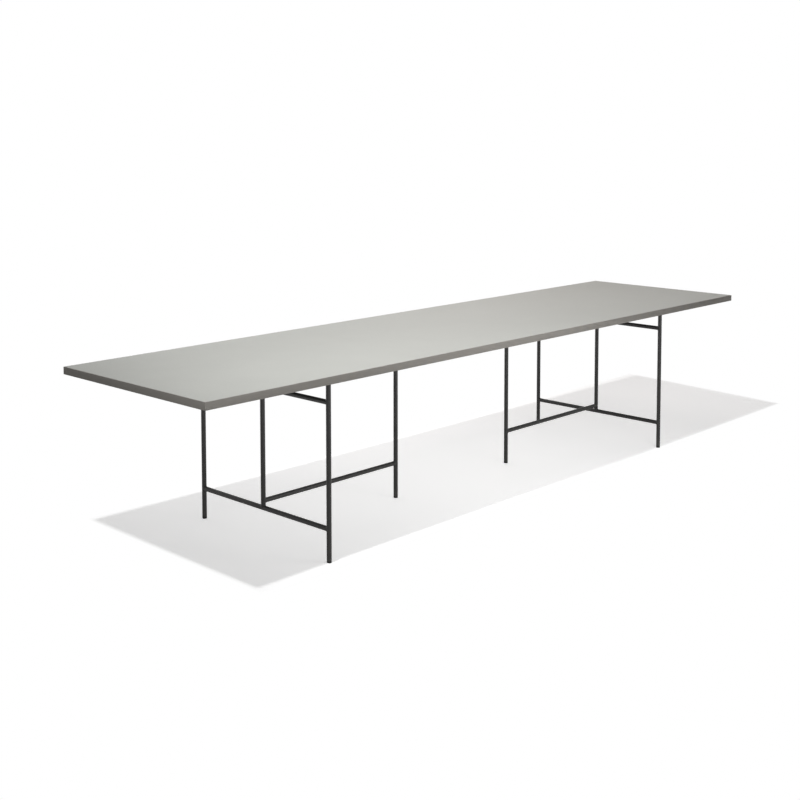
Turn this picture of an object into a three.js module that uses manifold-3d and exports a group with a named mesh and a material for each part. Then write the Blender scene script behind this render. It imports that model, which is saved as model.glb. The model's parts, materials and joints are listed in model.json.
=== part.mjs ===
// Conference table: a linoleum-faced slab on two T-plan frames of round steel tube.
// Millimetres, +Z up. The origin lies on the floor under the middle of the slab,
// +X runs along the table's length and the front long edge faces -Y.

import * as THREE from 'three';
import { mergeVertices } from 'three/addons/utils/BufferGeometryUtils.js';
import Module from 'manifold-3d';

const wasm = await Module();
wasm.setup();

// Overall sizes
const TABLE_LENGTH = 3600;
const TABLE_WIDTH = 900;
const TABLE_HEIGHT = 740;

// Slab build-up
const LINOLEUM_THICKNESS = 2;
const CORE_THICKNESS = 27;
const BACKING_THICKNESS = 1;
const EDGE_STRIP_THICKNESS = 3;
const EDGE_CHAMFER = 0.8;

// Frame tube and layout
const TUBE_DIAMETER = 20;
const TUBE_WALL = 1.5;
const LEG_EDGE_GAP = 50; // long edge of the slab to the outside of an outer leg
const MIDDLE_BAY = 790; // between the axes of the two inner legs
const STEM_REACH = 775; // axis of the outer legs to the axis of the inner leg
const LOWER_CROSS_HEIGHT = 131; // floor to the axis of the lower cross rail
const UPPER_CROSS_DROP = 84; // underside of the slab to the axis of the upper cross rail
const STEM_RAIL_GAP = 9; // clear space between a cross rail and the stem rail beside it
const WELD_GAP = 0.3; // root gap of a coped tube end

// Mounting plates on the leg tops, and their countersunk screws
const PLATE_THICKNESS = 4;
const PLATE_LEDGE = 4.5; // plate beyond the leg's wall, for the weld
const SCREW_TUBE_SPACE = 5; // leg wall to screw head
const SCREW_DIAMETER = 5;
const SCREW_HEAD_DIAMETER = 10;
const SCREW_HEAD_RIM = 0.4; // straight edge of the head
const SCREW_HEAD_HEIGHT = 2.8;
const SCREW_TIP_LENGTH = 5;
const SCREW_COVER = 7; // board left above a screw's tip
const SCREW_CLEARANCE = 0.3;

// Levelling feet: a pad on a threaded stud, in an insert pressed into the leg's end
const PAD_HEIGHT = 5.5;
const PAD_FLOOR = 1.5; // pad left under the stud
const PAD_CHAMFER = 1;
const PAD_SEAT_GAP = 0.3; // pad to insert collar with the foot screwed home
const INSERT_COLLAR = 1.5;
const INSERT_LENGTH = 24; // part inside the leg
const INSERT_CLEARANCE = 0.3;
const STUD_DIAMETER = 8;
const STUD_SPARE = 4; // stud above the insert with the foot screwed home
const STUD_CLEARANCE = 0.3;

// Facets round a tube and round a small turned piece
const TUBE_SIDES = 24;
const SMALL_SIDES = 12;

// Places worked out from the sizes above
const tubeRadius = TUBE_DIAMETER / 2;
const boreRadius = tubeRadius - TUBE_WALL;
const slabThickness = LINOLEUM_THICKNESS + CORE_THICKNESS + BACKING_THICKNESS;
const undersideZ = TABLE_HEIGHT - slabThickness;
const coreBottomZ = undersideZ + BACKING_THICKNESS;
const coreTopZ = coreBottomZ + CORE_THICKNESS;
const plateBottomZ = undersideZ - PLATE_THICKNESS;
const legY = TABLE_WIDTH / 2 - LEG_EDGE_GAP - tubeRadius;
const innerLegX = MIDDLE_BAY / 2;
const outerLegX = innerLegX + STEM_REACH;
const collarBottomZ = PAD_HEIGHT + PAD_SEAT_GAP;
const legBottomZ = collarBottomZ + INSERT_COLLAR;
const insertTopZ = legBottomZ + INSERT_LENGTH;
const stemStep = TUBE_DIAMETER + STEM_RAIL_GAP;
const upperCrossZ = undersideZ - UPPER_CROSS_DROP;
const lowerStemZ = LOWER_CROSS_HEIGHT + stemStep;
const upperStemZ = upperCrossZ - stemStep;
const screwHeadRadius = SCREW_HEAD_DIAMETER / 2;
const screwOffset = tubeRadius + SCREW_TUBE_SPACE + screwHeadRadius;
const screwLength = coreTopZ - SCREW_COVER - plateBottomZ;

const FINISHES = {
  linoleum: { color: 0xb9bbb5, roughness: 0.75, metalness: 0 },
  edgeStrip: { color: 0x85847f, roughness: 0.6, metalness: 0 },
  board: { color: 0xa98f6c, roughness: 0.9, metalness: 0 },
  backing: { color: 0x6f6f6b, roughness: 0.8, metalness: 0 },
  blackSteel: { color: 0x2f2f2e, roughness: 0.5, metalness: 0.3 },
  zincSteel: { color: 0xa9abac, roughness: 0.4, metalness: 0.9 },
  blackPlastic: { color: 0x1d1d1d, roughness: 0.6, metalness: 0 },
};

const table = new THREE.Group();

function addMesh(name, geometry, finish) {
  const mesh = new THREE.Mesh(geometry, new THREE.MeshStandardMaterial(FINISHES[finish]));
  mesh.name = name;
  table.add(mesh);
  return mesh;
}

// Shared vertices only, ready to become a solid
function welded(geometry) {
  const bare = geometry.clone();
  bare.deleteAttribute('normal');
  bare.deleteAttribute('uv');
  return mergeVertices(bare);
}

function toSolid(geometry) {
  const bare = welded(geometry);
  const vertProperties = new Float32Array(bare.attributes.position.array);
  const triVerts = new Uint32Array(bare.index.array);
  return new wasm.Manifold(new wasm.Mesh({ numProp: 3, vertProperties, triVerts }));
}

function toGeometry(solid) {
  const { numProp, vertProperties, triVerts } = solid.getMesh();
  const geometry = new THREE.BufferGeometry();
  geometry.setAttribute('position', new THREE.BufferAttribute(vertProperties, numProp));
  geometry.setIndex(new THREE.BufferAttribute(triVerts, 1));
  return geometry;
}

// A turned piece about Z, from [radius, height] points that run up its outside
function turned(profile, sides) {
  const points = profile.map(([radius, height]) => new THREE.Vector2(radius, height));
  return welded(new THREE.LatheGeometry(points, sides).rotateX(Math.PI / 2));
}

// A plain rod about Z from z = 0
function rod(radius, length, sides) {
  return turned([[0, 0], [radius, 0], [radius, length], [0, length]], sides);
}

// A hollow piece about Z from z = 0
function pipe(outer, inner, length, sides) {
  return turned([[inner, 0], [outer, 0], [outer, length], [inner, length], [inner, 0]], sides);
}

// A tube from one welded neighbour's axis to the other's, along +Z, with both ends cut to
// sit on neighbours that run along Y
function copedTube(length) {
  const cutRadius = tubeRadius + WELD_GAP;
  const cutLength = 2 * TUBE_DIAMETER;
  const saddle = rod(cutRadius, cutLength, TUBE_SIDES);
  saddle.translate(0, 0, -cutLength / 2).rotateX(Math.PI / 2);
  const nearEnd = toSolid(saddle);
  const farEnd = toSolid(saddle.clone().translate(0, 0, length));
  const tube = toSolid(pipe(tubeRadius, boreRadius, length, TUBE_SIDES));
  return toGeometry(tube.subtract(nearEnd).subtract(farEnd));
}

// A countersunk screw pointing up, its head's flat face at z = 0; with a clearance it is the
// hole that takes the screw, carried below the head so that it cuts right through
function screwShape(clearance) {
  const head = screwHeadRadius + clearance;
  const shank = SCREW_DIAMETER / 2 + clearance;
  const shoulder = screwLength - SCREW_TIP_LENGTH;
  return turned([
    [0, -clearance],
    [head, -clearance],
    [head, SCREW_HEAD_RIM + clearance],
    [shank, SCREW_HEAD_HEIGHT + clearance],
    [shank, shoulder + clearance],
    [0, screwLength + clearance],
  ], SMALL_SIDES);
}

// Legs of one frame; inward is the X direction in which its stem points
function legPlaces(inward) {
  const outerX = -inward * outerLegX;
  return [
    { place: 'back', x: outerX, y: legY },
    { place: 'front', x: outerX, y: -legY },
    { place: 'inner', x: -inward * innerLegX, y: 0 },
  ];
}

const FRAMES = [
  { side: 'left', inward: 1 },
  { side: 'right', inward: -1 },
];

// Screw places on each side of one leg, along the table
function screwPlaces(leg) {
  return [-1, 1].map((end) => ({ x: leg.x + end * screwOffset, y: leg.y }));
}

const allScrewPlaces = FRAMES.flatMap(({ inward }) => legPlaces(inward)).flatMap(screwPlaces);

function drillForScrews(geometry, places) {
  const hole = screwShape(SCREW_CLEARANCE);
  const holes = places.map(({ x, y }) => toSolid(hole.clone().translate(x, y, plateBottomZ)));
  return toGeometry(holes.reduce((solid, cut) => solid.subtract(cut), toSolid(geometry)));
}

// Slab: face sheet, core and backing inside a border of edge strips
function buildSlab() {
  const innerLength = TABLE_LENGTH - 2 * EDGE_STRIP_THICKNESS;
  const innerWidth = TABLE_WIDTH - 2 * EDGE_STRIP_THICKNESS;
  const layer = (thickness, lowZ) => {
    const sheet = new THREE.BoxGeometry(innerLength, innerWidth, thickness);
    return sheet.translate(0, 0, lowZ + thickness / 2);
  };
  const core = drillForScrews(layer(CORE_THICKNESS, coreBottomZ), allScrewPlaces);
  const backing = drillForScrews(layer(BACKING_THICKNESS, undersideZ), allScrewPlaces);
  addMesh('top_linoleum', layer(LINOLEUM_THICKNESS, coreTopZ), 'linoleum');
  addMesh('top_core', core, 'board');
  addMesh('top_backing', backing, 'backing');

  // The long strips run the whole length, and the short ones fit between them
  const longStrip = edgeStrip(TABLE_LENGTH);
  const shortStrip = edgeStrip(innerWidth);
  const stripAt = (name, strip, x, y, turn) => {
    const mesh = addMesh(name, strip, 'edgeStrip');
    mesh.position.set(x, y, undersideZ);
    mesh.rotation.z = turn;
  };
  stripAt('edge_front', longStrip, 0, -innerWidth / 2, 0);
  stripAt('edge_back', longStrip, 0, innerWidth / 2, Math.PI);
  stripAt('edge_left', shortStrip, -innerLength / 2, 0, -Math.PI / 2);
  stripAt('edge_right', shortStrip, innerLength / 2, 0, Math.PI / 2);
}

// An edge strip along X, its glued face at y = 0 and its outer arrises chamfered
function edgeStrip(length) {
  const chamfer = Math.min(EDGE_CHAMFER, EDGE_STRIP_THICKNESS / 2);
  const section = new THREE.Shape([
    new THREE.Vector2(0, 0),
    new THREE.Vector2(0, slabThickness),
    new THREE.Vector2(-EDGE_STRIP_THICKNESS + chamfer, slabThickness),
    new THREE.Vector2(-EDGE_STRIP_THICKNESS, slabThickness - chamfer),
    new THREE.Vector2(-EDGE_STRIP_THICKNESS, chamfer),
    new THREE.Vector2(-EDGE_STRIP_THICKNESS + chamfer, 0),
  ]);
  const strip = new THREE.ExtrudeGeometry(section, { depth: length, bevelEnabled: false });
  const sectionToYZ = new THREE.Matrix4().makeBasis(
    new THREE.Vector3(0, 1, 0), new THREE.Vector3(0, 0, 1), new THREE.Vector3(1, 0, 0),
  );
  return welded(strip.applyMatrix4(sectionToYZ).translate(-length / 2, 0, 0));
}

// Rails lie level: along +Y, or along the stem, with the tubes that they meet upright
function addRail(name, length, start, yaw) {
  const rail = addMesh(name, copedTube(length), 'blackSteel');
  rail.rotation.set(-Math.PI / 2, 0, yaw, 'ZYX');
  rail.position.set(...start);
}

function buildFrame({ side, inward }) {
  const outerX = -inward * outerLegX;
  for (const leg of legPlaces(inward)) {
    buildLeg(side, leg);
  }

  // Cross rails between the outer legs
  addRail(`${side}_lower_cross_rail`, 2 * legY, [outerX, -legY, LOWER_CROSS_HEIGHT], 0);
  addRail(`${side}_upper_cross_rail`, 2 * legY, [outerX, -legY, upperCrossZ], 0);

  // Centre post from one cross rail to the other
  const post = addMesh(`${side}_post`, copedTube(upperCrossZ - LOWER_CROSS_HEIGHT), 'blackSteel');
  post.position.set(outerX, 0, LOWER_CROSS_HEIGHT);

  // Stem rails from the post to the inner leg
  const stemYaw = (-inward * Math.PI) / 2;
  addRail(`${side}_lower_stem_rail`, STEM_REACH, [outerX, 0, lowerStemZ], stemYaw);
  addRail(`${side}_upper_stem_rail`, STEM_REACH, [outerX, 0, upperStemZ], stemYaw);
}

// A mounting plate with round ends centred on its screws, from z = 0
function plateBlank() {
  const endRadius = tubeRadius + PLATE_LEDGE;
  const outline = new THREE.Shape();
  outline.absarc(screwOffset, 0, endRadius, -Math.PI / 2, Math.PI / 2);
  outline.absarc(-screwOffset, 0, endRadius, Math.PI / 2, (3 * Math.PI) / 2);
  const plate = new THREE.ExtrudeGeometry(outline, {
    depth: PLATE_THICKNESS, bevelEnabled: false, curveSegments: SMALL_SIDES / 2,
  });
  return welded(plate);
}

// A leg with its mounting plate above and its levelling foot below
function buildLeg(side, leg) {
  const add = (piece, geometry, finish, z) => {
    const mesh = addMesh(`${side}_${piece}_${leg.place}`, geometry, finish);
    mesh.position.set(leg.x, leg.y, z);
  };
  const legLength = plateBottomZ - legBottomZ;
  add('leg', pipe(tubeRadius, boreRadius, legLength, TUBE_SIDES), 'blackSteel', legBottomZ);

  const plate = drillForScrews(plateBlank().translate(leg.x, leg.y, plateBottomZ), screwPlaces(leg));
  add('plate', plate.translate(-leg.x, -leg.y, -plateBottomZ), 'blackSteel', plateBottomZ);
  screwPlaces(leg).forEach(({ x, y }, index) => {
    const screw = addMesh(`${side}_screw_${leg.place}_${index + 1}`, screwShape(0), 'zincSteel');
    screw.position.set(x, y, plateBottomZ);
  });

  const studRadius = STUD_DIAMETER / 2;
  const threadRadius = studRadius + STUD_CLEARANCE;
  const insertRadius = boreRadius - INSERT_CLEARANCE;
  const insert = turned([
    [threadRadius, 0],
    [tubeRadius, 0],
    [tubeRadius, INSERT_COLLAR],
    [insertRadius, INSERT_COLLAR],
    [insertRadius, INSERT_COLLAR + INSERT_LENGTH],
    [threadRadius, INSERT_COLLAR + INSERT_LENGTH],
    [threadRadius, 0],
  ], TUBE_SIDES);
  add('foot_insert', insert, 'blackPlastic', collarBottomZ);

  const pad = turned([
    [0, 0],
    [tubeRadius - PAD_CHAMFER, 0],
    [tubeRadius, PAD_CHAMFER],
    [tubeRadius, PAD_HEIGHT],
    [threadRadius, PAD_HEIGHT],
    [threadRadius, PAD_FLOOR],
    [0, PAD_FLOOR],
  ], TUBE_SIDES);
  add('foot_pad', pad, 'blackPlastic', 0);

  const studBottomZ = PAD_FLOOR + STUD_CLEARANCE;
  const studLength = insertTopZ + STUD_SPARE - studBottomZ;
  add('foot_stud', rod(studRadius, studLength, SMALL_SIDES), 'zincSteel', studBottomZ);
}

buildSlab();
for (const frame of FRAMES) {
  buildFrame(frame);
}

export default table;
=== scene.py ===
"""Conference table: a linoleum slab on two frames of round tube, each frame a T in plan."""
import json
import logging
import math
from abc import ABC, abstractmethod
from dataclasses import dataclass
from enum import Enum
from typing import Callable, Optional, Union

import bmesh
import bpy
from mathutils import Euler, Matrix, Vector


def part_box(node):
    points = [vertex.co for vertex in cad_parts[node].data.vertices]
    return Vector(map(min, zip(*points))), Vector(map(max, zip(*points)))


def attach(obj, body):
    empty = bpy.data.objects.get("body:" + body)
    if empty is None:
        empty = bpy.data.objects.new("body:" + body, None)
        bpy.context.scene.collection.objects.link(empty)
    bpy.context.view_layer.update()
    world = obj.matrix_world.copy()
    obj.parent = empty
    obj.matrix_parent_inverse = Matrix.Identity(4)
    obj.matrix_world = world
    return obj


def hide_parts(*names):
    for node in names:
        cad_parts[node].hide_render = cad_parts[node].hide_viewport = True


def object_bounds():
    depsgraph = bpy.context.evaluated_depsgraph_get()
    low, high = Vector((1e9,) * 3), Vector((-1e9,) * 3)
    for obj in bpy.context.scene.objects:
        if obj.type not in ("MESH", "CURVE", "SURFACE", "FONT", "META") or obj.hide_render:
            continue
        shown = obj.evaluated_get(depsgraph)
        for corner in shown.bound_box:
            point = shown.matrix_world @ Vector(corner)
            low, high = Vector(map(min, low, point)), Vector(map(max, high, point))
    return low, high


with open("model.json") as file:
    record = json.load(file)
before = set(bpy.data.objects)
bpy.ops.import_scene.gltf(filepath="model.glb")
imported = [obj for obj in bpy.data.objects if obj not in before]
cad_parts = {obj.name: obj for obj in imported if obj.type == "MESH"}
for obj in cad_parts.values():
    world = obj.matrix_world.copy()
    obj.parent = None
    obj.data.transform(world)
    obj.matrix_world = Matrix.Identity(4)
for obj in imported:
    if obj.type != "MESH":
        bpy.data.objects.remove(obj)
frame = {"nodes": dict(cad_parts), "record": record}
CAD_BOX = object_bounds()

Span = tuple[float, float]
Point = tuple[float, float, float]
Ring = list[Vector]
Shape = bmesh.types.BMesh
Socket = bpy.types.NodeSocket
RadiusAt = Union[float, Callable[[float], float]]
Level = tuple[RadiusAt, float]

LOG = logging.getLogger("conference_table")
MM = 0.001
IMAGE_PIXELS = 800
SMOOTH_BELOW = math.radians(38)
MERGE_WITHIN = 0.01 * MM
ROUND_PROFILE = 0.5
UP = Vector((0.0, 0.0, 1.0))
FULL_LEVEL = 255.0
WHITE = (1.0, 1.0, 1.0, 1.0)
WARM_TINT: Point = (1.0, 0.91, 0.88)
WHOLE: Span = (0.0, 1.0)
# Most of a noise texture's values lie in this range
NOISE_SPAN: Span = (0.3, 0.7)
# The Mix node has sockets for every kind of value, and these are the ones for colours
MIX_COLOURS = (6, 7)
MIX_RESULT = 2
# A camera that isn't turned looks straight down, and this tilt brings it level
LEVEL_TILT = 90.0


class Slot(Enum):
    """The record's material slots."""

    LINOLEUM = "linoleum"
    EDGE_STRIP = "edge_strip"
    BOARD = "board"
    BACKING = "backing"
    FRAME_PAINT = "frame_paint"
    ZINC_STEEL = "zinc_steel"
    BLACK_PLASTIC = "black_plastic"


class Side(Enum):
    """The two frames, named for the end of the table that they stand under."""

    LEFT = "left"
    RIGHT = "right"


class Place(Enum):
    """The three legs of a frame."""

    BACK = "back"
    FRONT = "front"
    INNER = "inner"


class Along(Enum):
    """The directions that tubes run in."""

    Y = (0.0, 1.0, 0.0)
    Z = (0.0, 0.0, 1.0)


class Detail(Enum):
    """How many octaves of finer noise a texture has."""

    PLAIN = 2.0
    MIDDLING = 3.0
    RICH = 4.0
    RICHEST = 5.0


def linear_part(part: float) -> float:
    """Undoes the sRGB curve of one part of a colour.

    Args:
        part: the part as a screen shows it, from 0 to 1.

    Returns:
        The part in linear light.
    """
    if part <= 0.04045:
        return part / 12.92
    return ((part + 0.055) / 1.055) ** 2.4


@dataclass(frozen=True)
class Colour:
    """A colour as it looks on a screen, each part from 0 to 255."""

    red: float
    green: float
    blue: float

    def parts(self) -> Point:
        """Gives red, green and blue."""
        return self.red, self.green, self.blue

    def linear(self) -> tuple[float, float, float, float]:
        """Gives the linear colour that a shader's socket takes."""
        red, green, blue = (linear_part(part / FULL_LEVEL) for part in self.parts())
        return red, green, blue, 1.0

    def times(self, factor: float) -> "Colour":
        """Gives the same colour made lighter or darker by a factor."""
        return Colour(*(min(FULL_LEVEL, part * factor) for part in self.parts()))


class Graph:
    """A material's node tree, with short calls for the textures that the finishes share."""

    def __init__(self, name: str) -> None:
        """Makes the material.

        Args:
            name: the material's name.
        """
        self.material = bpy.data.materials.new(name)
        self.material.use_nodes = True
        self.tree = self.material.node_tree
        self.shader = self.tree.nodes["Principled BSDF"]
        self.place = self.node("ShaderNodeTexCoord").outputs["Object"]

    def node(self, kind: str) -> bpy.types.Node:
        """Adds a node of that kind."""
        return self.tree.nodes.new(kind)

    def link(self, source: Socket, target: Socket) -> None:
        """Joins an output to an input."""
        self.tree.links.new(source, target)

    def stretched(self, scale: Point) -> Socket:
        """Gives the surface's place with each direction scaled on its own.

        Args:
            scale: how many texture units a metre is along x, y and z.

        Returns:
            The scaled place.
        """
        mapping = self.node("ShaderNodeMapping")
        mapping.inputs["Scale"].default_value = scale
        self.link(self.place, mapping.inputs["Vector"])
        return mapping.outputs["Vector"]

    def noise(
        self, scale: float, detail: Detail = Detail.MIDDLING, place: Optional[Socket] = None
    ) -> Socket:
        """Adds a noise texture.

        Args:
            scale: texture units in a metre.
            detail: octaves of finer noise.
            place: coordinates, the object's own unless given.

        Returns:
            The noise, mostly within NOISE_SPAN.
        """
        texture = self.node("ShaderNodeTexNoise")
        texture.inputs["Scale"].default_value = scale
        texture.inputs["Detail"].default_value = detail.value
        self.link(place or self.place, texture.inputs["Vector"])
        return texture.outputs["Fac"]

    def streaks(self, scale: Point, detail: Detail = Detail.MIDDLING) -> Socket:
        """Adds a noise texture that is scaled on its own in each direction.

        Args:
            scale: texture units in a metre along x, y and z.
            detail: octaves of finer noise.

        Returns:
            The noise, mostly within NOISE_SPAN.
        """
        return self.noise(1.0, detail, self.stretched(scale))

    def cells(self, scale: float) -> Socket:
        """Adds a texture of small cells.

        Args:
            scale: cells in a metre.

        Returns:
            A colour for each cell.
        """
        texture = self.node("ShaderNodeTexVoronoi")
        texture.inputs["Scale"].default_value = scale
        self.link(self.place, texture.inputs["Vector"])
        return texture.outputs["Color"]

    def height(self) -> Socket:
        """Measures the surface's height above the floor at rest.

        Returns:
            The height.
        """
        split = self.node("ShaderNodeSeparateXYZ")
        self.link(self.place, split.inputs["Vector"])
        return split.outputs["Z"]

    def vector(self, operation: str, value: Socket, constant: Point) -> bpy.types.Node:
        """Joins a place or direction with a constant one.

        Args:
            operation: the name of the operation.
            value: the place or direction.
            constant: the other operand.

        Returns:
            The node, with its results.
        """
        result = self.node("ShaderNodeVectorMath")
        result.operation = operation
        result.inputs[1].default_value = constant
        self.link(value, result.inputs[0])
        return result

    def beyond(self, start: Span, end: Span) -> Socket:
        """Gives how far the surface lies to the right of a line on the floor.

        Args:
            start, end: two points of the line, as x and y.

        Returns:
            The distance, below 0 on the left of the line.
        """
        along = (Vector(end) - Vector(start)).normalized()
        offset = self.vector("SUBTRACT", self.place, (*start, 0.0)).outputs["Vector"]
        across = (along.y, -along.x, 0.0)
        return self.vector("DOT_PRODUCT", offset, across).outputs["Value"]

    def distance(self, x: float, y: float) -> Socket:
        """Gives the surface's distance from a point on the floor."""
        return self.vector("DISTANCE", self.place, (x, y, 0.0)).outputs["Value"]

    def ranged(
        self, value: Socket, source: Span, target: Span = WHOLE, smooth: bool = False
    ) -> Socket:
        """Stretches a value over a new range and holds it there.

        Args:
            value: the value to stretch.
            source: the values that become the ends of the new range.
            target: the new range.
            smooth: eases the change at both ends of the range.

        Returns:
            The stretched value.
        """
        stretch = self.node("ShaderNodeMapRange")
        stretch.interpolation_type = "SMOOTHSTEP" if smooth else "LINEAR"
        self.link(value, stretch.inputs["Value"])
        names = ("From Min", "From Max", "To Min", "To Max")
        for name, number in zip(names, (*source, *target)):
            stretch.inputs[name].default_value = number
        return stretch.outputs["Result"]

    def maths(self, operation: str, first: Socket, second: Socket) -> Socket:
        """Joins two values with a product or the like.

        Args:
            operation: the name of the operation.
            first, second: the values.

        Returns:
            The result.
        """
        result = self.node("ShaderNodeMath")
        result.operation = operation
        self.link(first, result.inputs[0])
        self.link(second, result.inputs[1])
        return result.outputs[0]

    def mixed(
        self, factor: Socket, first: Union[Colour, Socket], second: Union[Colour, Socket]
    ) -> Socket:
        """Mixes two colours.

        Args:
            factor: 0 for the first colour, 1 for the second.
            first, second: the colours, or sockets that give them.

        Returns:
            The mixed colour.
        """
        mix = self.node("ShaderNodeMix")
        mix.data_type = "RGBA"
        self.link(factor, mix.inputs[0])
        for colour, place in zip((first, second), MIX_COLOURS):
            if isinstance(colour, Colour):
                mix.inputs[place].default_value = colour.linear()
            else:
                self.link(colour, mix.inputs[place])
        return mix.outputs[MIX_RESULT]

    def shaded(self, factor: Socket, colour: Colour, shades: Span) -> Socket:
        """Varies a colour between two shades of itself.

        Args:
            factor: 0 for the first shade, 1 for the second.
            colour: the colour.
            shades: the factors that make the shades of it.

        Returns:
            The varied colour.
        """
        return self.mixed(factor, *(colour.times(shade) for shade in shades))

    def paint(self, colour: Socket, roughness: Socket) -> None:
        """Sets the shader's colour and roughness."""
        self.link(colour, self.shader.inputs["Base Color"])
        self.link(roughness, self.shader.inputs["Roughness"])

    def relief(self, *layers: tuple[Socket, float]) -> None:
        """Adds bump to the shader, one layer on another.

        Args:
            layers: pairs of a height texture and the depth in metres that it stands for.
        """
        normal = None
        for texture, depth in layers:
            bump = self.node("ShaderNodeBump")
            bump.inputs["Strength"].default_value = 1.0
            bump.inputs["Distance"].default_value = depth
            self.link(texture, bump.inputs["Height"])
            if normal is not None:
                self.link(normal, bump.inputs["Normal"])
            normal = bump.outputs["Normal"]
        self.link(normal, self.shader.inputs["Normal"])


@dataclass(frozen=True)
class Finish(ABC):
    """The look of one material slot."""

    name: str = "finish"
    specular: float = 0.5
    metallic: float = 0.0

    def material(self) -> bpy.types.Material:
        """Makes the material.

        Returns:
            The coated material.
        """
        graph = Graph(self.name)
        self.coat(graph)
        graph.shader.inputs["Specular IOR Level"].default_value = self.specular
        graph.shader.inputs["Metallic"].default_value = self.metallic
        return graph.material

    @abstractmethod
    def coat(self, graph: Graph) -> None:
        """Gives the material its colour, roughness and relief.

        Args:
            graph: the material's node tree.
        """


@dataclass(frozen=True)
class Linoleum(Finish):
    """Matte furniture linoleum: softly clouded, with fine flecks of cork flour."""

    name: str = "matte_grey_linoleum"
    specular: float = 0.2
    roughness: Span = (0.65, 0.71)
    colour: Colour = Colour(198, 199, 194)
    clouds_per_metre: float = 6.0
    cloud_span: Span = (0.34, 0.66)
    cloud_shades: Span = (0.993, 1.007)
    flecks_per_metre: float = 420.0
    dark_flecks: Span = (0.58, 0.70)
    light_flecks: Span = (0.42, 0.30)
    fleck_shades: Span = (0.78, 1.14)
    fleck_strength: float = 0.32
    grain_per_metre: float = 1300.0
    grain_depth: float = 0.05 * MM

    def coat(self, graph: Graph) -> None:
        """Clouds the colour, and scatters dark and light flecks over it.

        Args:
            graph: the material's node tree.
        """
        cloud = graph.noise(self.clouds_per_metre, Detail.RICHEST)
        fleck = graph.noise(self.flecks_per_metre, Detail.RICH)
        grain = graph.noise(self.grain_per_metre, Detail.PLAIN)
        clouding = graph.ranged(cloud, self.cloud_span)
        colour = graph.shaded(clouding, self.colour, self.cloud_shades)
        for span, shade in zip((self.dark_flecks, self.light_flecks), self.fleck_shades):
            flecked = graph.ranged(fleck, span, (0.0, self.fleck_strength))
            colour = graph.mixed(flecked, colour, self.colour.times(shade))
        graph.paint(colour, graph.ranged(cloud, NOISE_SPAN, self.roughness))
        graph.relief((fleck, self.grain_depth), (grain, self.grain_depth))


@dataclass(frozen=True)
class EdgeStripFinish(Finish):
    """Satin grey edge strip, drawn lengthwise; its upper arris has painted highlight and rubbed
    wear.
    """

    name: str = "satin_grey_edge_strip"
    specular: float = 0.06
    roughness: Span = (0.5, 0.62)
    colour: Colour = Colour(136, 133, 128)
    streak_scale: Point = (5.0, 5.0, 900.0)
    streak_shades: Span = (0.975, 1.025)
    top: float = CAD_BOX[1].z
    # The upper arris band is lighter as painted highlight and rubbed wear
    highlight_and_wear_band: float = 1.4 * MM
    highlight_and_wear_span: Span = (0.35, 0.65)
    highlight_and_wear_strength: Span = (0.15, 0.7)
    highlight_and_wear_shade: float = 1.28
    patches_per_metre: float = 38.0
    grain_per_metre: float = 700.0
    grain_depth: float = 0.03 * MM

    def coat(self, graph: Graph) -> None:
        """Streaks the strip, and lightens its upper arris in patches: rubbed wear and painted
        highlight.

        Args:
            graph: the material's node tree.
        """
        streak = graph.streaks(self.streak_scale)
        grain = graph.noise(self.grain_per_metre)
        patch = graph.noise(self.patches_per_metre, Detail.RICH)
        streaking = graph.ranged(streak, NOISE_SPAN)
        colour = graph.shaded(streaking, self.colour, self.streak_shades)
        # Painted highlight and rubbed wear: the strip's top band turns a lighter shade in patches
        arris = graph.ranged(graph.height(), (self.top - self.highlight_and_wear_band, self.top))
        worn_and_highlit = graph.ranged(patch, self.highlight_and_wear_span, self.highlight_and_wear_strength)
        wear_and_highlight = graph.maths("MULTIPLY", arris, worn_and_highlit)
        colour = graph.mixed(wear_and_highlight, colour, self.colour.times(self.highlight_and_wear_shade))
        graph.paint(colour, graph.ranged(patch, NOISE_SPAN, self.roughness))
        graph.relief((streak, self.grain_depth), (grain, self.grain_depth))


@dataclass(frozen=True)
class PowderCoat(Finish):
    """Near-black powder coat on steel tube: a fine orange peel, a little dusty at the floor."""

    name: str = "black_powder_coat"
    specular: float = 0.35
    roughness: Span = (0.44, 0.54)
    colour: Colour = Colour(38, 37, 36)
    tones_per_metre: float = 16.0
    tone_shades: Span = (0.93, 1.07)
    dust: Colour = Colour(96, 94, 90)
    dust_height: float = 60 * MM
    dust_span: Span = (0.35, 0.65)
    dust_strength: float = 0.35
    peel_per_metre: float = 380.0
    peel_depth: float = 0.03 * MM
    grit_per_metre: float = 1900.0
    grit_span: Span = (0.55, 0.72)
    grit_strength: float = 0.18
    grit_shade: float = 1.4
    grit_depth: float = 0.012 * MM

    def coat(self, graph: Graph) -> None:
        """Varies the tone, sprinkles grit and dusts the lower ends.

        Args:
            graph: the material's node tree.
        """
        tone = graph.noise(self.tones_per_metre, Detail.RICH)
        peel = graph.noise(self.peel_per_metre, Detail.PLAIN)
        grit = graph.noise(self.grit_per_metre, Detail.PLAIN)
        colour = graph.shaded(graph.ranged(tone, NOISE_SPAN), self.colour, self.tone_shades)
        gritty = graph.ranged(grit, self.grit_span, (0.0, self.grit_strength))
        colour = graph.mixed(gritty, colour, self.colour.times(self.grit_shade))
        low = graph.ranged(graph.height(), (self.dust_height, 0.0), (0.0, self.dust_strength))
        dusty = graph.maths("MULTIPLY", low, graph.ranged(tone, self.dust_span))
        colour = graph.mixed(dusty, colour, self.dust)
        graph.paint(colour, graph.ranged(tone, NOISE_SPAN, self.roughness))
        graph.relief((peel, self.peel_depth), (grit, self.grit_depth))


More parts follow.
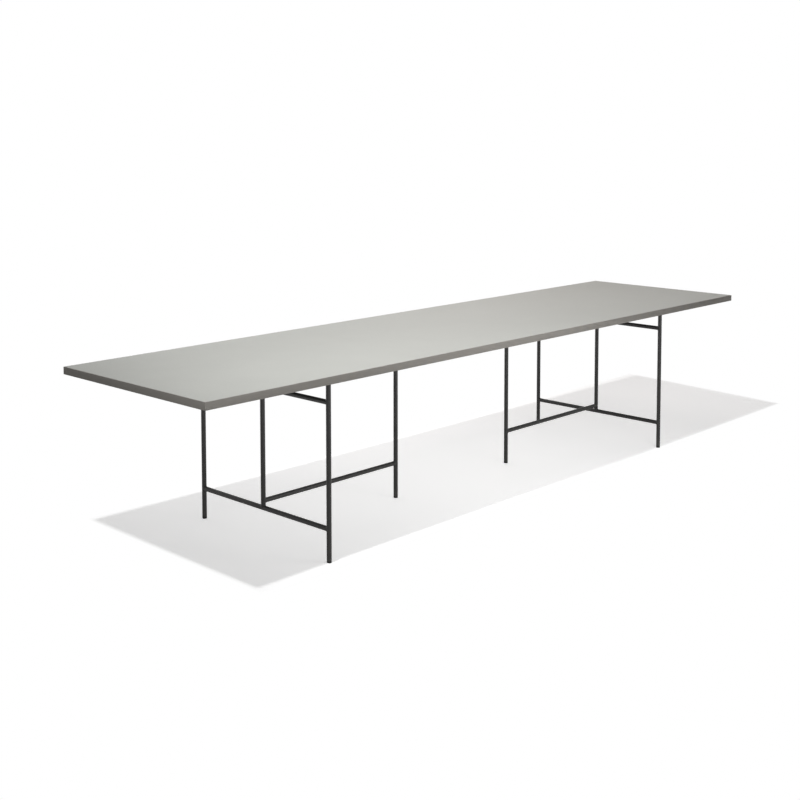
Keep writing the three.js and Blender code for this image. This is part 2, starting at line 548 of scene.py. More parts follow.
@dataclass(frozen=True)
class ZincSteel(Finish):
    """Bright zinc-plated steel with a faint straw tinge and fine scratches."""

    name: str = "zinc_plated_steel"
    metallic: float = 1.0
    roughness: Span = (0.24, 0.42)
    colour: Colour = Colour(196, 198, 200)
    tinge: Colour = Colour(190, 182, 160)
    tones_per_metre: float = 240.0
    tinge_span: Span = (0.45, 0.68)
    scratch_scale: Point = (300.0, 2600.0, 900.0)
    scratch_depth: float = 0.02 * MM

    def coat(self, graph: Graph) -> None:
        """Tinges the plating in places and scratches it.

        Args:
            graph: the material's node tree.
        """
        tone = graph.noise(self.tones_per_metre, Detail.RICH)
        scratch = graph.streaks(self.scratch_scale)
        colour = graph.mixed(graph.ranged(tone, self.tinge_span), self.colour, self.tinge)
        graph.paint(colour, graph.ranged(scratch, NOISE_SPAN, self.roughness))
        graph.relief((scratch, self.scratch_depth))


@dataclass(frozen=True)
class MouldedPlastic(Finish):
    """Black moulded nylon with a fine spark-eroded texture."""

    name: str = "black_moulded_plastic"
    specular: float = 0.25
    roughness: Span = (0.48, 0.62)
    colour: Colour = Colour(28, 28, 27)
    tones_per_metre: float = 120.0
    tone_shades: Span = (0.85, 1.2)
    texture_per_metre: float = 2400.0
    texture_depth: float = 0.04 * MM

    def coat(self, graph: Graph) -> None:
        """Varies the tone and textures the surface.

        Args:
            graph: the material's node tree.
        """
        tone = graph.noise(self.tones_per_metre)
        texture = graph.noise(self.texture_per_metre, Detail.PLAIN)
        colour = graph.shaded(graph.ranged(tone, NOISE_SPAN), self.colour, self.tone_shades)
        graph.paint(colour, graph.ranged(texture, NOISE_SPAN, self.roughness))
        graph.relief((texture, self.texture_depth))


@dataclass(frozen=True)
class BackingSheet(Finish):
    """Grey balancing sheet on the underside: pressed paper with lengthwise fibres."""

    name: str = "grey_balancing_sheet"
    roughness: Span = (0.6, 0.74)
    colour: Colour = Colour(116, 114, 110)
    fibre_scale: Point = (60.0, 900.0, 900.0)
    fibre_span: Span = (0.32, 0.68)
    fibre_shades: Span = (0.9, 1.1)
    fibre_depth: float = 0.04 * MM
    clouds_per_metre: float = 9.0
    cloud_span: Span = (0.4, 0.7)
    cloud_strength: float = 0.3
    cloud_shade: float = 0.86

    def coat(self, graph: Graph) -> None:
        """Draws the fibres and clouds them.

        Args:
            graph: the material's node tree.
        """
        fibre = graph.streaks(self.fibre_scale, Detail.RICH)
        cloud = graph.noise(self.clouds_per_metre, Detail.RICH)
        fibrous = graph.ranged(fibre, self.fibre_span)
        colour = graph.shaded(fibrous, self.colour, self.fibre_shades)
        clouded = graph.ranged(cloud, self.cloud_span, (0.0, self.cloud_strength))
        colour = graph.mixed(clouded, colour, self.colour.times(self.cloud_shade))
        graph.paint(colour, graph.ranged(fibre, NOISE_SPAN, self.roughness))
        graph.relief((fibre, self.fibre_depth))


@dataclass(frozen=True)
class ChipBoard(Finish):
    """Pressed wood chips, which are the slab's core."""

    name: str = "pressed_chip_board"
    roughness: Span = (0.75, 0.9)
    pale: Colour = Colour(196, 168, 126)
    dark: Colour = Colour(146, 114, 76)
    chips_per_metre: float = 260.0
    flour_per_metre: float = 1100.0
    flour_span: Span = (0.45, 0.7)
    flour_strength: float = 0.4
    flour_depth: float = 0.15 * MM

    def coat(self, graph: Graph) -> None:
        """Lays the chips and strews wood flour between them.

        Args:
            graph: the material's node tree.
        """
        chip = graph.cells(self.chips_per_metre)
        flour = graph.noise(self.flour_per_metre)
        colour = graph.mixed(chip, self.dark, self.pale)
        floury = graph.ranged(flour, self.flour_span, (0.0, self.flour_strength))
        colour = graph.mixed(floury, colour, self.pale)
        graph.paint(colour, graph.ranged(flour, NOISE_SPAN, self.roughness))
        graph.relief((flour, self.flour_depth))


FINISHES: dict[Slot, Finish] = {
    Slot.LINOLEUM: Linoleum(),
    Slot.EDGE_STRIP: EdgeStripFinish(),
    Slot.BOARD: ChipBoard(),
    Slot.BACKING: BackingSheet(),
    Slot.FRAME_PAINT: PowderCoat(),
    Slot.ZINC_STEEL: ZincSteel(),
    Slot.BLACK_PLASTIC: MouldedPlastic(),
}


def middle_of(node: str) -> Vector:
    """Gives the middle of a CAD node."""
    low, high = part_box(node)
    return (low + high) / 2


def radius_of(node: str) -> float:
    """Gives the radius of an upright round CAD node."""
    low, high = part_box(node)
    return (high.x - low.x) / 2


def ring_of(centre: Vector, radius: RadiusAt, height: float, sides: int) -> Ring:
    """Gives a level ring of points round a vertical axis.

    Args:
        centre: a point on the axis.
        radius: the radius, or a function that gives it at an angle.
        height: the ring's height.
        sides: how many points it has.

    Returns:
        The points, in order.
    """
    ring = []
    for step in range(sides):
        angle = math.tau * step / sides
        reach = radius(angle) if callable(radius) else radius
        x, y = reach * math.cos(angle), reach * math.sin(angle)
        ring.append(Vector((centre.x + x, centre.y + y, height)))
    return ring


def loft(shape: Shape, rings: list[Ring], closed: bool = False) -> None:
    """Joins neighbouring rings with faces.

    Args:
        shape: the mesh that takes the faces.
        rings: rings with the same number of points.
        closed: joins the last ring to the first; otherwise both end rings are capped.
    """
    rows = [[shape.verts.new(point) for point in ring] for ring in rings]
    pairs = list(zip(rows, rows[1:]))
    if closed:
        pairs.append((rows[-1], rows[0]))
    for low, high in pairs:
        for here, point in enumerate(low):
            there = (here + 1) % len(low)
            shape.faces.new((point, low[there], high[there], high[here]))
    if not closed:
        shape.faces.new(list(reversed(rows[0])))
        shape.faces.new(rows[-1])


def turned(centre: Vector, levels: list[Level], sides: int, closed: bool = False) -> Shape:
    """Makes a piece as if it were turned on a lathe with an upright axis.

    Args:
        centre: a point on the axis.
        levels: radius and height of each ring along the profile.
        sides: how many points each ring has.
        closed: joins the last ring to the first; otherwise both end rings are capped.

    Returns:
        The mesh.
    """
    shape = bmesh.new()
    rings = [ring_of(centre, radius, height, sides) for radius, height in levels]
    loft(shape, rings, closed)
    return shape


def rounded(
    radius: float, height: float, arris: float, upward: bool, steps: int = 4
) -> list[Level]:
    """Gives the profile of a turned piece's rounded outer arris.

    Args:
        radius: the piece's radius.
        height: the height of the flat face that ends in the arris.
        arris: the radius of the rounding.
        upward: True where the profile climbs from a lower face, False where it closes on an
            upper one.
        steps: how many straight bits the quarter round has.

    Returns:
        Pairs of radius and height.
    """
    levels = []
    for step in range(steps + 1):
        angle = math.pi / 2 * step / steps
        sine, cosine = arris * math.sin(angle), arris * math.cos(angle)
        if upward:
            levels.append((radius - arris + sine, height + arris - cosine))
        else:
            levels.append((radius - arris + cosine, height - arris + sine))
    return levels


def ease(shape: Shape, edges: list[bmesh.types.BMEdge], arris: float, steps: int) -> None:
    """Rounds some of a mesh's edges.

    Args:
        shape: the mesh.
        edges: the edges to round.
        arris: the size of the rounding.
        steps: how many straight bits it has.
    """
    bmesh.ops.bevel(
        shape, geom=edges, offset=arris, segments=steps, profile=ROUND_PROFILE, affect="EDGES"
    )


@dataclass(frozen=True)
class Thread:
    """A screw thread with straight flanks."""

    root: float
    crest: float
    pitch: float
    steps: int = 4

    def radius_at(self, height: float) -> Callable[[float], float]:
        """Gives the thread's radius at one height, as a function of the angle.

        Args:
            height: the height of the cut.

        Returns:
            The function.
        """
        def radius(angle: float) -> float:
            """Gives the radius at that angle."""
            turn = (height / self.pitch - angle / math.tau) % 1.0
            return self.root + (self.crest - self.root) * abs(2.0 * turn - 1.0)
        return radius

    def levels(self, low: float, high: float) -> list[Level]:
        """Cuts a length of the thread into levels.

        Args:
            low, high: the heights that the length starts and ends at.

        Returns:
            Radius and height of each level, upwards.
        """
        step = self.pitch / self.steps
        heights = [low + turn * step for turn in range(1, int((high - low) / step))]
        return [(self.radius_at(height), height) for height in heights]


class Shop:
    """Turns finished meshes into pieces of the table, and dresses them."""

    def __init__(self, finishes: dict[Slot, Finish]) -> None:
        """Makes one material for each finish.

        Args:
            finishes: the finish of each slot.
        """
        record = frame["record"]
        self.materials = {slot: finish.material() for slot, finish in finishes.items()}
        self.slots = {part["node"]: Slot(part["material_slot"]) for part in record["subparts"]}
        bodies = record["behaviour"]["bodies"]
        self.bodies = {node: body for body, nodes in bodies.items() for node in nodes}

    def add(self, name: str, shape: Shape, like: str, stands_for: bool = True) -> None:
        """Makes a piece that takes its body and its slot from a CAD node.

        Args:
            name: the piece's name.
            shape: its finished mesh, which is used up.
            like: the CAD node.
            stands_for: whether the piece is shown in place of that node.
        """
        slot = self.slots[like]
        mesh = bpy.data.meshes.new(name)
        bmesh.ops.recalc_face_normals(shape, faces=shape.faces)
        shape.to_mesh(mesh)
        shape.free()
        mesh.materials.append(self.materials[slot])
        mesh.shade_smooth()
        mesh.set_sharp_from_angle(angle=SMOOTH_BELOW)
        piece = bpy.data.objects.new(name, mesh)
        bpy.context.scene.collection.objects.link(piece)
        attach(piece, self.bodies[like])
        if stands_for:
            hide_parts(like)
        LOG.info("%s rides on %s in %s", name, self.bodies[like], slot.value)

    def dress(self, node: str) -> None:
        """Gives a CAD node that stays as it is the material of its slot.

        Args:
            node: the CAD node.
        """
        for slot in frame["nodes"][node].material_slots:
            slot.material = self.materials[self.slots[node]]
        LOG.info("%s keeps its CAD shape in %s", node, self.slots[node].value)


@dataclass
class Slab:
    """The table top: linoleum on a board core, four edge strips and a backing sheet."""

    shop: Shop
    sheet_arris: float = 0.3 * MM
    sheet_steps: int = 2
    strip_arris: float = 0.9 * MM
    strip_steps: int = 4

    def build(self) -> None:
        """Builds the sheet and the strips, and dresses the core and the backing."""
        self.build_sheet()
        for name in ("edge_front", "edge_back", "edge_left", "edge_right"):
            self.build_strip(name)
        for node in ("top_core", "top_backing"):
            self.shop.dress(node)

    def block(self, node: str) -> tuple[Shape, Vector, Vector]:
        """Makes a sharp block of a CAD node's size.

        Args:
            node: the CAD node.

        Returns:
            The mesh, and its lowest and highest corners.
        """
        low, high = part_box(node)
        shape = bmesh.new()
        bmesh.ops.create_cube(shape, size=1.0)
        for vert in shape.verts:
            vert.co = [b if c > 0 else a for c, a, b in zip(vert.co, low, high)]
        return shape, low, high

    def build_sheet(self) -> None:
        """Builds the linoleum sheet, its upper arris eased so that the joint shows as a line."""
        shape, _, high = self.block("top_linoleum")
        rim = [
            edge for edge in shape.edges
            if all(abs(vert.co.z - high.z) < self.sheet_arris for vert in edge.verts)
        ]
        ease(shape, rim, self.sheet_arris, self.sheet_steps)
        self.shop.add("linoleum_face", shape, "top_linoleum")

    def build_strip(self, node: str) -> None:
        """Builds an edge strip with rounded outer arrises.

        Args:
            node: the strip's CAD node.
        """
        shape, low, high = self.block(node)
        size = high - low
        across = 0 if size.x < size.y else 1
        along = 1 - across
        near = self.strip_arris
        outer = max((low[across], high[across]), key=abs)
        reaches_corner = abs(high[along]) > abs(CAD_BOX[1][along]) - near
        chosen = []
        for edge in shape.edges:
            first, second = (vert.co for vert in edge.verts)
            on_face = all(abs(point[across] - outer) < near for point in (first, second))
            on_end = abs(first[along] - second[along]) + abs(first.z - second.z) < near
            if on_face or (on_end and reaches_corner):
                chosen.append(edge)
        ease(shape, chosen, self.strip_arris, self.strip_steps)
        self.shop.add(f"{node}_strip", shape, node)


@dataclass(frozen=True)
class Joint:
    """A welded joint, where a tube ends on the side of another."""

    centre: Vector
    outward: Vector
    neighbour: Along


@dataclass
class TubeFrame:
    """One frame: three legs, a post, four rails and the welds between them."""

    shop: Shop
    side: Side
    rails: tuple[tuple[str, str, str], ...] = (
        ("lower_cross_rail", "leg_front", "leg_back"),
        ("lower_stem_rail", "post", "leg_inner"),
        ("upper_cross_rail", "leg_front", "leg_back"),
        ("upper_stem_rail", "post", "leg_inner"),
    )
    wall: float = 1.5 * MM
    deburr: float = 0.3 * MM
    tube_sides: int = 56
    plate_bead: float = 1.9 * MM
    crotch_bead: float = 2.6 * MM
    flank_bead: float = 1.1 * MM
    bead_flatness: float = 0.78
    bead_sides: int = 8
    bead_steps: int = 96
    bead_ripples: int = 24
    ripple: float = 0.07
    crotch: float = 1.6 * MM

    def __post_init__(self) -> None:
        """Measures the tubes."""
        self.radius = radius_of(self.node("leg_front"))

    def build(self) -> None:
        """Builds the legs, the rails, the post and the welds."""
        for place in Place:
            self.build_leg(place)
        joints = []
        for rail, first, second in self.rails:
            height = self.middle(rail).z
            start, end = (self.at_height(name, height) for name in (first, second))
            joints += self.build_rail(rail, start, end, Along.Z)
        start, end = (
            self.at_height("post", self.middle(rail).z)
            for rail in ("lower_cross_rail", "upper_cross_rail")
        )
        joints += self.build_rail("post", start, end, Along.Y)
        self.build_welds(joints)

    def node(self, name: str) -> str:
        """Gives the CAD node's full name."""
        return f"{self.side.value}_{name}"

    def middle(self, name: str) -> Vector:
        """Gives the middle of a CAD node of this frame."""
        return middle_of(self.node(name))

    def at_height(self, name: str, height: float) -> Vector:
        """Gives the point at that height on an upright tube's axis."""
        middle = self.middle(name)
        return Vector((middle.x, middle.y, height))

    def build_leg(self, place: Place) -> None:
        """Builds a leg as a tube with square, deburred ends.

        Args:
            place: which leg.
        """
        node = self.node(f"leg_{place.value}")
        low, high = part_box(node)
        outer, inner = self.radius, self.radius - self.wall
        profile = [
            (outer - self.deburr, low.z),
            (outer, low.z + self.deburr),
            (outer, high.z - self.deburr),
            (outer - self.deburr, high.z),
            (inner, high.z),
            (inner, low.z),
        ]
        shape = turned(middle_of(node), profile, self.tube_sides, True)
        self.shop.add(f"{node}_tube", shape, node)

    def build_rail(self, name: str, start: Vector, end: Vector, neighbour: Along) -> list[Joint]:
        """Builds a tube whose ends are cut to sit on the tubes that it joins.

        Args:
            name: the CAD node's name without its side.
            start, end: where its axis meets the axes of those tubes.
            neighbour: the direction that those tubes run in.

        Returns:
            The joints at its two ends.
        """
        along = (end - start).normalized()
        crown = Vector(neighbour.value)
        flank = along.cross(crown)
        rings = []
        for radius in (self.radius, self.radius - self.wall):
            pair = ([], [])
            for step in range(self.tube_sides):
                angle = math.tau * step / self.tube_sides
                radial = radius * (math.cos(angle) * crown + math.sin(angle) * flank)
                cope = math.sqrt(max(self.radius ** 2 - (radius * math.sin(angle)) ** 2, 0.0))
                pair[0].append(start + radial + cope * along)
                pair[1].append(end + radial - cope * along)
            rings += pair if radius == self.radius else reversed(pair)
        shape = bmesh.new()
        loft(shape, rings, True)
        self.shop.add(f"{self.node(name)}_tube", shape, self.node(name))
        return [Joint(start, along, neighbour), Joint(end, -along, neighbour)]

    def build_welds(self, joints: list[Joint]) -> None:
        """Builds the weld beads of the frame's joints and of the plates on its legs.

        Args:
            joints: where rails and post end on other tubes.
        """
        shape = bmesh.new()
        for joint in joints:
            self.sweep_bead(shape, *self.saddle_path(joint), self.crotch_bead, self.flank_bead)
        for place in Place:
            self.sweep_bead(shape, *self.plate_path(place), self.plate_bead, self.plate_bead)
        self.shop.add(self.node("frame_welds"), shape, self.node("post"), False)

    def saddle_path(self, joint: Joint) -> tuple[Ring, Ring]:
        """Follows the line where a tube's end meets the side of another.

        Args:
            joint: the joint.

        Returns:
            The points of the line, and the direction away from both tubes at each.
        """
        crown = Vector(joint.neighbour.value)
        flank = joint.outward.cross(crown)
        points, away = [], []
        for step in range(self.bead_steps):
            angle = math.tau * step / self.bead_steps
            radial = math.cos(angle) * crown + math.sin(angle) * flank
            cope = math.hypot(self.radius * math.cos(angle), self.crotch)
            points.append(joint.centre + self.radius * radial + cope * joint.outward)
            side = cope * joint.outward + self.radius * math.sin(angle) * flank
            away.append((radial + side.normalized()).normalized())
        return points, away

    def plate_path(self, place: Place) -> tuple[Ring, Ring]:
        """Follows the line where a leg meets the underside of its plate.

        Args:
            place: which leg.

        Returns:
            The points of the line, and the direction away from leg and plate at each.
        """
        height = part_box(self.node(f"plate_{place.value}"))[0].z
        axis = self.at_height(f"leg_{place.value}", height)
        points = ring_of(axis, self.radius, height, self.bead_steps)
        away = [((point - axis).normalized() - UP).normalized() for point in points]
        return points, away

    def sweep_bead(
        self, shape: Shape, points: Ring, away: Ring, crown: float, flank: float
    ) -> None:
        """Sweeps a rippled weld bead along a closed line.

        Args:
            shape: the mesh that takes the bead.
            points: the line, which starts on a crown.
            away: the direction away from both parts at each point.
            crown: the bead's radius on the two crowns, where the parts meet squarely.
            flank: its radius half way between them.
        """
        rings = []
        for step, point in enumerate(points):
            ahead = points[(step + 1) % len(points)] - points[step - 1]
            outward = away[step]
            across = ahead.cross(outward).normalized()
            turn = math.tau * step / len(points)
            radius = flank + (crown - flank) * math.cos(turn) ** 2
            radius *= 1.0 + self.ripple * math.cos(self.bead_ripples * turn)
            ring = []
            for corner in range(self.bead_sides):
                angle = math.tau * corner / self.bead_sides
                rise = self.bead_flatness * math.cos(angle)
                reach = math.sin(angle) / self.bead_flatness
                ring.append(point + radius * (rise * outward + reach * across))
            rings.append(ring)
        loft(shape, rings, True)


@dataclass
class LegMount:
    """The plate on a leg's top and the two screws that hold it to the slab."""

    shop: Shop
    side: Side
    place: Place
    plate_arris: float = 0.5 * MM
    screw_clearance: float = 0.25 * MM
    countersink_depth: float = 2.8 * MM
    arc_steps: int = 10
    screw_sides: int = 36
    head_rim: float = 0.4 * MM
    recess_depth: float = 1.7 * MM
    recess_radius: float = 2.2 * MM
    recess_lobe: float = 0.38 * MM
    recess_lobes: int = 6
    shank_radius: float = 2.5 * MM
    thread_root: float = 1.7 * MM
    thread_pitch: float = 2.2 * MM
    tip_length: float = 5.0 * MM
    tip_radius: float = 0.3 * MM

    def __post_init__(self) -> None:
        """Names the CAD nodes and measures the plate."""
        side, place = self.side.value, self.place.value
        self.plate = f"{side}_plate_{place}"
        self.screws = [f"{side}_screw_{place}_{number}" for number in (1, 2)]
        self.low, self.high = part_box(self.plate)
        self.half_width = (self.high.y - self.low.y) / 2

    def build(self) -> None:
        """Builds the plate and its screws."""
        self.build_plate()
        for screw in self.screws:
            self.build_screw(screw)

    def build_plate(self) -> None:
        """Builds the plate as two halves, each a band of faces round its countersunk hole."""
        shape = bmesh.new()
        for screw in self.screws:
            self.add_half(shape, screw)
        bmesh.ops.remove_doubles(shape, verts=shape.verts, dist=MERGE_WITHIN)
        self.shop.add(f"{self.plate}_flange", shape, self.plate)

    def outline(self, angle: float, inset: float) -> Span:
        """Gives a point of a half plate's outline, as seen from the screw hole in it.

        Args:
            angle: the direction from the hole, 0 towards the plate's end.
            inset: how far inside the plate's outline the point lies.

        Returns:
            How far from the hole it lies towards the plate's end, and sideways.
        """
        half = self.half_width - inset
        if abs(angle) <= math.pi / 2:
            return half * math.cos(angle), half * math.sin(angle)
        return self.half_width / math.tan(abs(angle)), math.copysign(half, angle)

    def add_half(self, shape: Shape, screw: str) -> None:
        """Adds one half of the plate.

        Args:
            shape: the mesh that takes the faces.
            screw: the CAD node of the screw in that half.
        """
        hole = middle_of(screw)
        offset = hole.x - middle_of(self.plate).x
        sign = math.copysign(1.0, offset)
        corner = math.pi - math.atan2(self.half_width, abs(offset))
        steps = range(-self.arc_steps, self.arc_steps + 1)
        angles = [corner * step / self.arc_steps for step in steps]
        head = radius_of(screw) + self.screw_clearance
        shank = self.shank_radius + self.screw_clearance
        low, high, arris = self.low.z, self.high.z, self.plate_arris
        walls = [(arris, low), (0.0, low + arris), (0.0, high - arris), (arris, high)]
        bores = [(shank, high), (shank, low + self.countersink_depth), (head, low)]
        bands = [([self.outline(a, inset) for a in angles], z) for inset, z in walls]
        bands += [([(r * math.cos(a), r * math.sin(a)) for a in angles], z) for r, z in bores]
        rows = [
            [shape.verts.new((hole.x + sign * x, hole.y + y, z)) for x, y in band]
            for band, z in bands
        ]
        for row, ring in enumerate(rows):
            after = rows[(row + 1) % len(rows)]
            for here in range(len(ring) - 1):
                there = here + 1
                shape.faces.new((ring[here], ring[there], after[there], after[here]))
            if row >= len(walls) - 1:
                shape.faces.new((ring[-1], ring[0], after[0], after[-1]))

    def build_screw(self, node: str) -> None:
        """Builds a countersunk screw with a lobed recess and a wood thread.

        Args:
            node: the screw's CAD node.
        """
        low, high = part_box(node)
        head = radius_of(node)

        def recess(angle: float) -> float:
            """Gives the recess's radius at that angle."""
            return self.recess_radius + self.recess_lobe * math.cos(self.recess_lobes * angle)

        neck = low.z + self.countersink_depth
        tip = high.z - self.tip_length
        thread = Thread(self.thread_root, self.shank_radius, self.thread_pitch)
        levels: list[Level] = [
            (recess, low.z + self.recess_depth),
            (recess, low.z),
            (head - self.head_rim / 2, low.z),
            (head, low.z + self.head_rim / 2),
            (head, low.z + self.head_rim),
            (self.shank_radius, neck),
            *thread.levels(neck, tip),
            (self.thread_root, tip),
            (self.tip_radius, high.z),
        ]
        shape = turned(middle_of(node), levels, self.screw_sides)
        self.shop.add(f"{node}_countersunk", shape, node)


@dataclass
class LevellingFoot:
    """The insert in a leg's lower end, and the pad and stud that screw in and out of it."""

    shop: Shop
    side: Side
    place: Place
    sides: int = 72
    insert_arris: float = 0.35 * MM
    insert_lead: float = 1.0 * MM
    wall: float = 1.8 * MM
    bore_clearance: float = 0.3 * MM
    pad_arris: float = 1.0 * MM
    pad_floor: float = 1.5 * MM
    grip_notches: int = 18
    grip_depth: float = 0.45 * MM
    grip_margin: float = 1.3 * MM
    thread_sides: int = 28
    thread_depth: float = 0.75 * MM
    thread_pitch: float = 1.25 * MM
    stud_lead: float = 0.8 * MM

    def __post_init__(self) -> None:
        """Measures the stud."""
        self.middle = middle_of(self.node("stud"))
        self.stud_radius = radius_of(self.node("stud"))

    def build(self) -> None:
        """Builds the insert, the pad and the stud."""
        self.build_insert()
        self.build_pad()
        self.build_stud()

    def node(self, name: str) -> str:
        """Gives the CAD node's full name."""
        return f"{self.side.value}_foot_{name}_{self.place.value}"

    def build_insert(self) -> None:
        """Builds the insert: a collar under the tube and a sleeve inside it."""
        node = self.node("insert")
        low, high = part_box(node)
        leg_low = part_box(f"{self.side.value}_leg_{self.place.value}")[0].z
        collar = radius_of(node)
        sleeve = collar - self.wall
        bore = self.stud_radius + self.bore_clearance
        profile = [
            (bore, low.z),
            *rounded(collar, low.z, self.insert_arris, True),
            (collar, leg_low),
            (sleeve, leg_low),
            (sleeve, high.z - self.insert_lead),
            (sleeve - self.insert_lead / 2, high.z),
            (bore, high.z),
        ]
        shape = turned(self.middle, profile, self.sides, True)
        self.shop.add(f"{node}_collar", shape, node)

    def build_pad(self) -> None:
        """Builds the pad, with grip notches round its side and a seat for the stud."""
        node = self.node("pad")
        low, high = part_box(node)
        radius = radius_of(node)
        seat = self.stud_radius + self.bore_clearance / 2

        def gripped(angle: float) -> float:
            """Gives the notched side's radius at that angle."""
            wave = math.cos(self.grip_notches * angle)
            return radius - self.grip_depth * max(0.0, wave) ** 2

        levels: list[Level] = [
            *rounded(radius, low.z, self.pad_arris, True),
            (gripped, low.z + self.grip_margin),
            (gripped, high.z - self.grip_margin),
            *rounded(radius, high.z, self.pad_arris, False),
            (seat, high.z),
            (seat, low.z + self.pad_floor),
        ]
        self.shop.add(f"{node}_glide", turned(self.middle, levels, self.sides), node)

    def build_stud(self) -> None:
        """Builds the stud with its screw thread."""
        node = self.node("stud")
        low, high = (corner.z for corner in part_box(node))
        thread = Thread(self.stud_radius - self.thread_depth, self.stud_radius, self.thread_pitch)
        lead = high - self.stud_lead
        levels: list[Level] = [
            (thread.root, low),
            *thread.levels(low, lead),
            (thread.root, lead),
            (thread.root - self.stud_lead, high),
        ]
        self.shop.add(f"{node}_thread", turned(self.middle, levels, self.thread_sides), node)


def hang(lamp: bpy.types.Light, place: Point, target: Point) -> None:
    """Puts a lamp at a place and turns it to a target.

    Args:
        lamp: the lamp.
        place: where it hangs.
        target: the point that it faces.
    """
    holder = bpy.data.objects.new(lamp.name, lamp)
    holder.location = place
    facing = Vector(target) - Vector(place)
    holder.rotation_euler = facing.to_track_quat("-Z", "Y").to_euler()
    holder.visible_camera = False
    bpy.context.scene.collection.objects.link(holder)


@dataclass(frozen=True)
class Softbox:
    """A rectangular lamp that faces a point."""

    name: str
    place: Point
    target: Point
    width: float
    depth: float
    watts: float
    spread: float = 180.0
    tint: Point = (1.0, 1.0, 1.0)

    def build(self) -> None:
        """Adds the lamp to the scene."""
        lamp = bpy.data.lights.new(self.name, "AREA")
        lamp.color = self.tint
        lamp.spread = math.radians(self.spread)
        lamp.shape = "RECTANGLE"
        lamp.size = self.width
        lamp.size_y = self.depth
        lamp.energy = self.watts
        hang(lamp, self.place, self.target)


@dataclass(frozen=True)
class Spot:
    """A small round lamp with a soft-edged beam."""

    name: str
    place: Point
    target: Point
    radius: float
    beam: float
    watts: float

    def build(self) -> None:
        """Adds the lamp to the scene."""
        lamp = bpy.data.lights.new(self.name, "SPOT")
        lamp.shadow_soft_size = self.radius
        lamp.spot_size = math.radians(self.beam)
        lamp.spot_blend = 1.0
        lamp.energy = self.watts
        hang(lamp, self.place, self.target)


LAMPS: tuple[Union[Spot, Softbox], ...] = (
    Spot("shadow_spot", (-3.03, -0.714, 4.0), (4.6, 0.0, 0.0), 0.07, 112.0, 700.0),
    Softbox("front_strip", (0.0, -1.95, 0.68), (0.0, -0.4, 0.7), 1.0, 0.5, 15.3),
    Softbox("near_corner", (-2.6, -1.5, 0.85), (-1.8, -0.5, 0.76), 0.5, 0.4, 0.55, 50.0),
    Softbox("front_left", (-2.4, -4.6, 1.3), (-0.4, -0.4, 0.5), 1.5, 1.0, 21.0),
    Softbox("back_right", (2.8, 2.6, 2.2), (1.0, 0.2, 0.7), 1.6, 1.0, 20.5, tint=WARM_TINT),
    Softbox("over_right", (1.4, 0.0, 2.6), (1.4, 0.0, 0.0), 1.0, 0.8, 5.0, tint=WARM_TINT),
    Softbox("back_strip", (0.0, 2.8, 0.5), (0.0, 0.45, 0.68), 3.0, 0.4, 12.0, 80.0),
    Softbox("right_strip", (4.2, 0.0, 0.5), (1.8, 0.0, 0.68), 0.9, 0.4, 4.0, 80.0),
)


def seen_directly(tree: bpy.types.NodeTree) -> Socket:
    """Says whether a ray comes from the camera or from a mirror or glass that it looks at.

    Args:
        tree: the node tree that asks.

    Returns:
        1 for such rays, 0 for the rest.
    """
    path = tree.nodes.new("ShaderNodeLightPath")
    found = path.outputs["Is Camera Ray"]
    for name in ("Is Glossy Ray", "Is Transmission Ray"):
        either = tree.nodes.new("ShaderNodeMath")
        either.operation = "MAXIMUM"
        tree.links.new(found, either.inputs[0])
        tree.links.new(path.outputs[name], either.inputs[1])
        found = either.outputs[0]
    return found


def mixed_shader(
    tree: bpy.types.NodeTree, factor: Socket, first: Socket, second: Socket
) -> Socket:
    """Mixes two shaders.

    Args:
        tree: the node tree that takes the mix.
        factor: 0 for the first shader, 1 for the second.
        first, second: the shaders.

    Returns:
        The mixed shader.
    """
    mix = tree.nodes.new("ShaderNodeMixShader")
    for source, target in zip((factor, first, second), mix.inputs):
        tree.links.new(source, target)
    return mix.outputs[0]


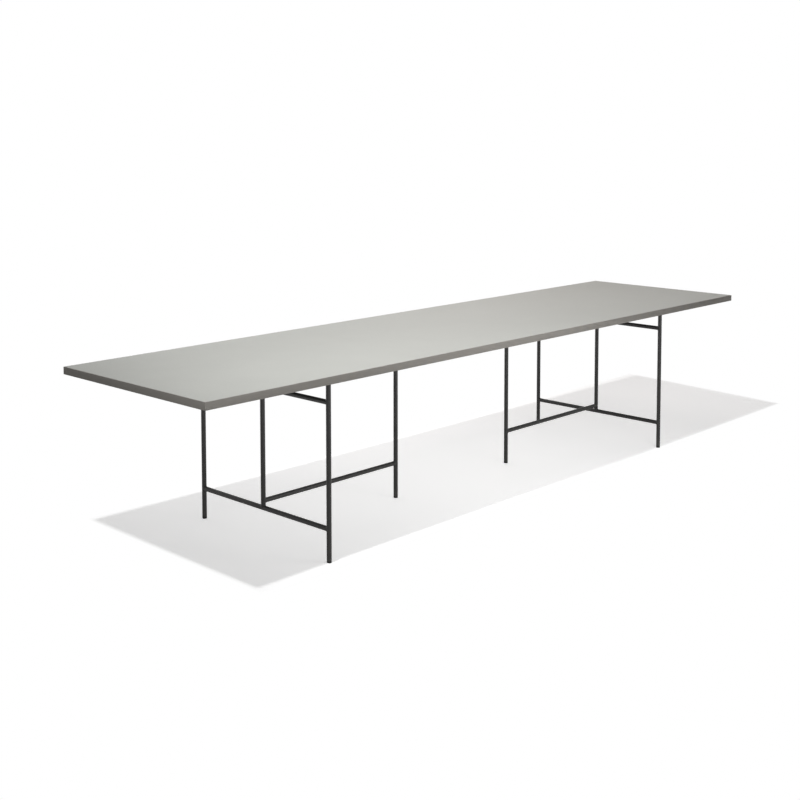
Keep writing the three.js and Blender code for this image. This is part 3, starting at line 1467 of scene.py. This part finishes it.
@dataclass
class Studio:
    """The white floor and backdrop, the lamps and the camera."""

    camera_place: Point = (-4.3714, -3.8253, 1.6987)
    camera_yaw: float = 46.321
    camera_pitch: float = -4.341
    camera_roll: float = -0.04
    lens: float = 56.088
    axis_above_centre: float = 185.0
    floor_radius: float = 40.0
    floor_sides: int = 96
    floor_grey: Colour = Colour(231, 231, 231)
    floor_glow: float = 0.485
    # Painted light: the floor's glow is stronger under the table's middle, lightening the
    # shadow's middle
    middle_glow: float = 0.622
    glow_centre: Span = (0.12, 0.1)
    glow_reach: float = 2.2
    # Given corners; beyond them the floor is painted white, over the end of the spot's own shadow
    # too
    shadow_corners: tuple[Span, ...] = (
        (-1.490, 0.709),
        (-1.522, -0.416),
        (2.515, -0.350),
        (2.645, 0.746),
    )
    fade_widths: tuple[float, ...] = (0.04, 0.03, 0.05, 0.04)
    sky_level: float = 0.10
    lamps: tuple[Union[Spot, Softbox], ...] = LAMPS

    def build(self) -> None:
        """Builds everything that isn't part of the table."""
        bpy.context.scene.view_settings.view_transform = "Standard"
        self.build_camera()
        self.build_floor()
        self.build_sky()
        for lamp in self.lamps:
            lamp.build()

    def build_camera(self) -> None:
        """Adds the camera, with its axis raised above the middle of the picture."""
        data = bpy.data.cameras.new("view")
        data.lens = self.lens
        data.shift_y = -self.axis_above_centre / IMAGE_PIXELS
        camera = bpy.data.objects.new("view", data)
        camera.location = self.camera_place
        pitch = math.radians(LEVEL_TILT + self.camera_pitch)
        tilt = Euler((pitch, 0.0, -math.radians(self.camera_yaw)))
        roll = Euler((0.0, 0.0, math.radians(self.camera_roll)))
        camera.rotation_euler = (tilt.to_matrix() @ roll.to_matrix()).to_euler()
        bpy.context.scene.collection.objects.link(camera)
        bpy.context.scene.camera = camera

    def build_floor(self) -> None:
        """Adds a pale floor that keeps the table's shadow and fades to white around it."""
        shape = bmesh.new()
        bmesh.ops.create_circle(
            shape, cap_ends=True, radius=self.floor_radius, segments=self.floor_sides
        )
        mesh = bpy.data.meshes.new("floor")
        shape.to_mesh(mesh)
        shape.free()
        mesh.materials.append(self.floor_material())
        floor = bpy.data.objects.new("floor", mesh)
        bpy.context.scene.collection.objects.link(floor)

    def floor_material(self) -> bpy.types.Material:
        """Makes the floor's material: matte grey, with a glow where it is looked at.

        Returns:
            The material.
        """
        graph = Graph("studio_floor")
        tree = graph.tree
        tree.nodes.remove(graph.shader)
        matte = graph.node("ShaderNodeBsdfDiffuse")
        matte.inputs["Color"].default_value = self.floor_grey.linear()
        glow = graph.node("ShaderNodeEmission")
        # Painted light: the glow climbs from the floor level to the middle level under the table
        under = graph.distance(*self.glow_centre)
        levels = (self.middle_glow, self.floor_glow)
        level = graph.ranged(under, (0.0, self.glow_reach), levels, True)
        graph.link(level, glow.inputs["Strength"])
        white = graph.node("ShaderNodeEmission")
        lit = graph.node("ShaderNodeAddShader")
        graph.link(matte.outputs[0], lit.inputs[0])
        graph.link(glow.outputs[0], lit.inputs[1])
        outside = self.outside_shadow(graph)
        shown = mixed_shader(tree, outside, lit.outputs[0], white.outputs[0])
        both = mixed_shader(tree, seen_directly(tree), matte.outputs[0], shown)
        graph.link(both, tree.nodes["Material Output"].inputs["Surface"])
        return graph.material

    def outside_shadow(self, graph: Graph) -> Socket:
        """Says where the floor lies outside the table's shadow.

        Args:
            graph: the floor's node tree.

        Returns:
            0 inside the shadow's corners, climbing to 1 over the fade width of each side.
        """
        # Painted white beyond the given corners, which trims the spot's cast shadow where it
        # reaches further
        corners = self.shadow_corners
        sides = zip(corners, (*corners[1:], corners[0]), self.fade_widths)
        first, *others = (
            graph.ranged(graph.beyond(start, end), (0.0, width), smooth=True)
            for start, end, width in sides
        )
        for other in others:
            first = graph.maths("MAXIMUM", first, other)
        return first

    def build_sky(self) -> None:
        """Sets the world: white to look at, and a softer level as light."""
        world = bpy.data.worlds.new("studio")
        world.use_nodes = True
        bpy.context.scene.world = world
        tree = world.node_tree
        light = tree.nodes["Background"]
        light.inputs["Strength"].default_value = self.sky_level
        white = tree.nodes.new("ShaderNodeBackground")
        for background in (light, white):
            background.inputs["Color"].default_value = WHITE
        both = mixed_shader(tree, seen_directly(tree), light.outputs[0], white.outputs[0])
        tree.links.new(both, tree.nodes["World Output"].inputs["Surface"])


def main() -> None:
    """Builds the studio and the table, and reports each piece."""
    logging.basicConfig(level=logging.INFO, format="%(name)s: %(message)s")
    shop = Shop(FINISHES)
    Studio().build()
    Slab(shop).build()
    for side in Side:
        TubeFrame(shop, side).build()
        for place in Place:
            LegMount(shop, side, place).build()
            LevellingFoot(shop, side, place).build()


if __name__ == "__main__":
    main()
